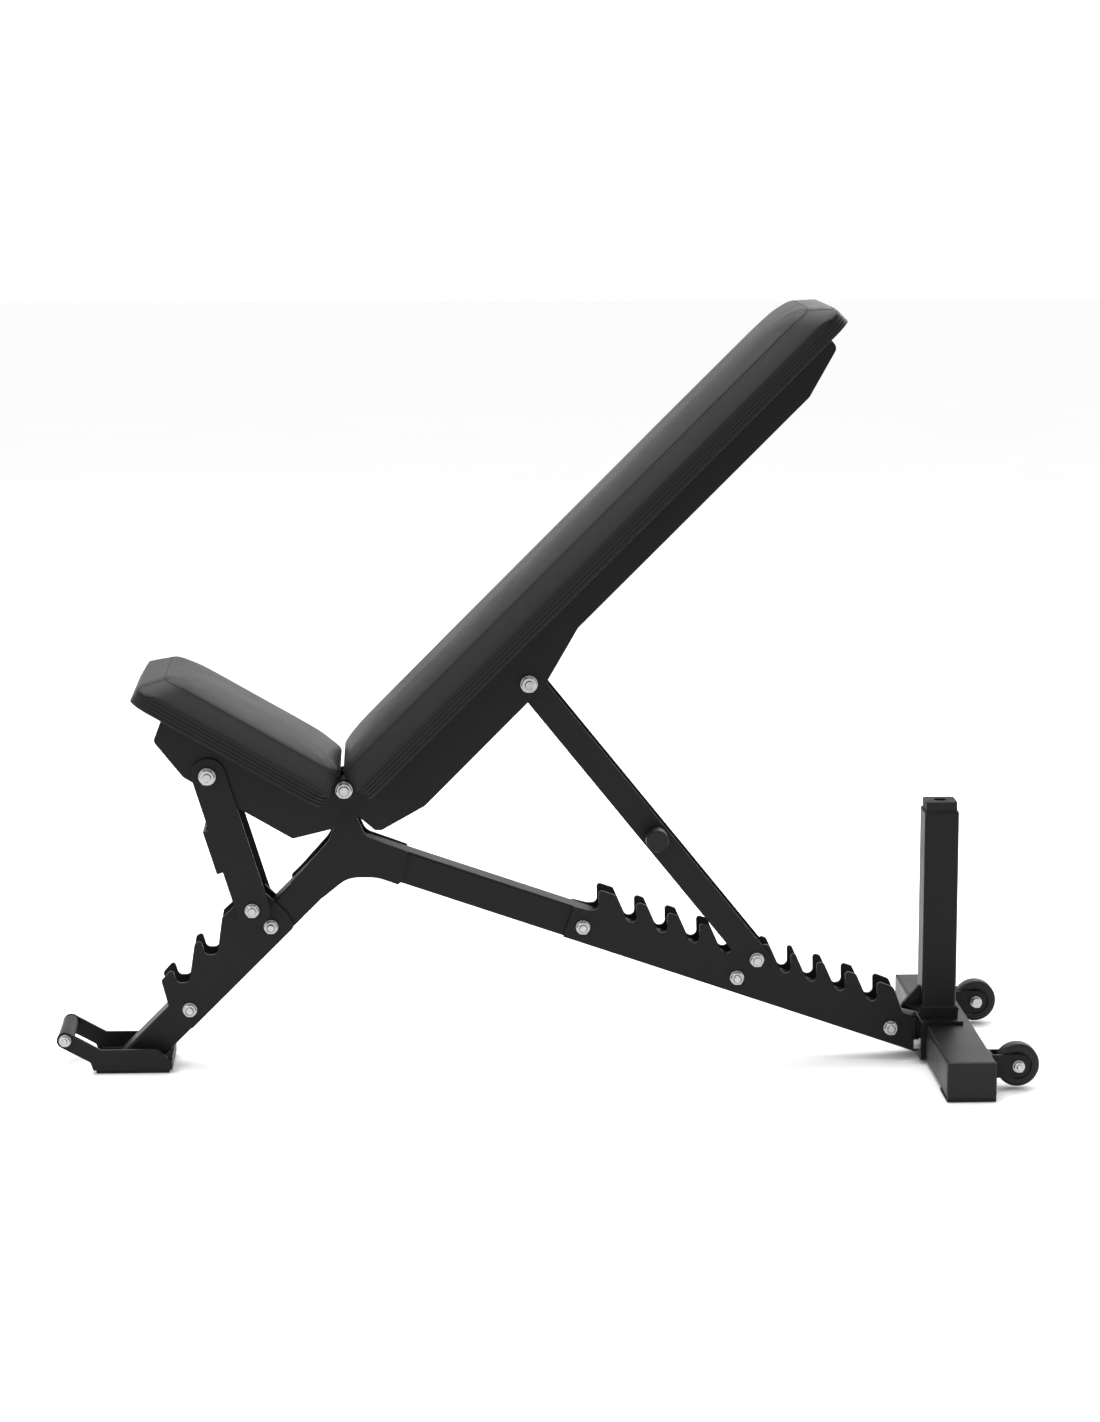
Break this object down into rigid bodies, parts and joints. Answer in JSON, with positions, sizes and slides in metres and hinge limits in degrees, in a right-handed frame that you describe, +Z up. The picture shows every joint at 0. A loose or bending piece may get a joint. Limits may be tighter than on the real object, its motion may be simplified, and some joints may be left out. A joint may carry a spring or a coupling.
{
  "type": "adjustable weight bench",
  "caption": "Weight bench with a padded backrest and seat that tilt on one pivot, ladder locks, a rear post, a carrying handle and transport wheels.",
  "frame": {"origin": "on the floor, under the middle of the bench's overall box", "axes": "+X from the front foot to the wheels, +Z up, symmetric about Y = 0"},
  "size_m": [1.3421, 0.506, 1.0713],
  "materials": {
    "frame_paint": "satin black powder coat",
    "zinc": "bright zinc plate",
    "rubber": "matt",
    "plastic": "moulded, satin",
    "tyre": "smooth urethane",
    "upholstery": "grained synthetic leather",
    "board": "plywood under the cover"
  },
  "bodies": {
    "frame": {"front_foot_side_left": "frame_paint", "front_foot_side_right": "frame_paint", "front_foot_base": "frame_paint", "front_foot_rear_wall": "frame_paint", "front_foot_rubber": "rubber", "front_handle_tube": "frame_paint", "front_handle_bolt": "zinc", "leg_tube": "frame_paint", "rear_beam_tube": "frame_paint", "pivot_gusset_left": "frame_paint", "pivot_gusset_right": "frame_paint", "front_ladder_left": "frame_paint", "front_ladder_right": "frame_paint", "rear_ladder_left": "frame_paint", "rear_ladder_right": "frame_paint", "ladder_bolts": "zinc", "ladder_washers": "zinc", "ladder_nuts": "zinc", "pivot_shaft": "zinc", "pivot_fixings": "zinc", "rear_bracket": "frame_paint", "bracket_bolts": "zinc", "post_tube": "frame_paint", "post_bumper": "rubber", "post_collar": "frame_paint", "post_rib": "frame_paint", "crossbar_tube": "frame_paint", "crossbar_end_caps": "plastic", "crossbar_feet": "rubber", "wheel_bracket_left": "frame_paint", "wheel_bracket_right": "frame_paint", "wheel_axle_bolts": "zinc"},
    "wheel_left": {"wheel_tyre_left": "tyre", "wheel_hub_left": "plastic"},
    "wheel_right": {"wheel_tyre_right": "tyre", "wheel_hub_right": "plastic"},
    "seat": {"seat_plate_left": "frame_paint", "seat_plate_right": "frame_paint", "seat_web": "frame_paint", "seat_board": "board", "seat_pad": "upholstery", "seat_strut_bolt": "zinc"},
    "seat_strut": {"seat_strut_left": "frame_paint", "seat_strut_right": "frame_paint", "seat_strut_grip": "frame_paint", "seat_lock_pin": "zinc", "seat_lock_fixings": "zinc"},
    "back_pivot_bushes": {"pivot_bushes": "plastic"},
    "backrest": {"back_plate_left": "frame_paint", "back_plate_right": "frame_paint", "back_web": "frame_paint", "back_board": "board", "back_pad": "upholstery", "prop_pivot_bolt": "zinc"},
    "prop_pivot_bush": {"prop_bush": "plastic"},
    "prop": {"prop_channel": "frame_paint", "prop_handle_bar": "zinc", "prop_handle_grips": "plastic", "prop_lock_pin": "zinc", "prop_lock_fixings": "zinc"}
  },
  "joints": [
    {"name": "seat_lower", "type": "hinge", "parent": "frame", "child": "seat", "pos_m": [-0.27195, 0, 0.396], "axis": [0, -1, 0], "range_deg": [0, 30]},
    {"name": "strut_fold", "type": "hinge", "parent": "seat", "child": "seat_strut", "pos_m": [-0.45876, 0, 0.41564], "axis": [0, -1, 0], "range_deg": [-63.9, 0]},
    {"name": "backrest_raise", "type": "hinge", "parent": "frame", "child": "back_pivot_bushes", "pos_m": [-0.27195, 0, 0.396], "axis": [0, -1, 0], "range_deg": [0, 40]},
    {"name": "backrest_recline", "type": "hinge", "parent": "back_pivot_bushes", "child": "backrest", "pos_m": [-0.27195, 0, 0.396], "axis": [0, -1, 0], "range_deg": [-45, 0]},
    {"name": "prop_fold_recline", "type": "hinge", "parent": "backrest", "child": "prop_pivot_bush", "pos_m": [-0.0181, 0, 0.54096], "axis": [0, -1, 0], "range_deg": [0, 69.7]},
    {"name": "prop_fold_raise", "type": "hinge", "parent": "prop_pivot_bush", "child": "prop", "pos_m": [-0.0181, 0, 0.54096], "axis": [0, -1, 0], "range_deg": [-50.4, 0]},
    {"name": "wheel_left_spin", "type": "hinge", "parent": "frame", "child": "wheel_left", "pos_m": [0.64105, -0.179, 0.034], "axis": [0, 1, 0], "continuous": true},
    {"name": "wheel_right_spin", "type": "hinge", "parent": "frame", "child": "wheel_right", "pos_m": [0.64105, 0.179, 0.034], "axis": [0, 1, 0], "continuous": true}
  ],
  "couplings": [
    {"joint": "strut_fold", "follows": "seat_lower", "ratio": -2.13},
    {"joint": "prop_fold_recline", "follows": "backrest_recline", "ratio": -1.549},
    {"joint": "prop_fold_raise", "follows": "backrest_raise", "ratio": -1.26}
  ]
}
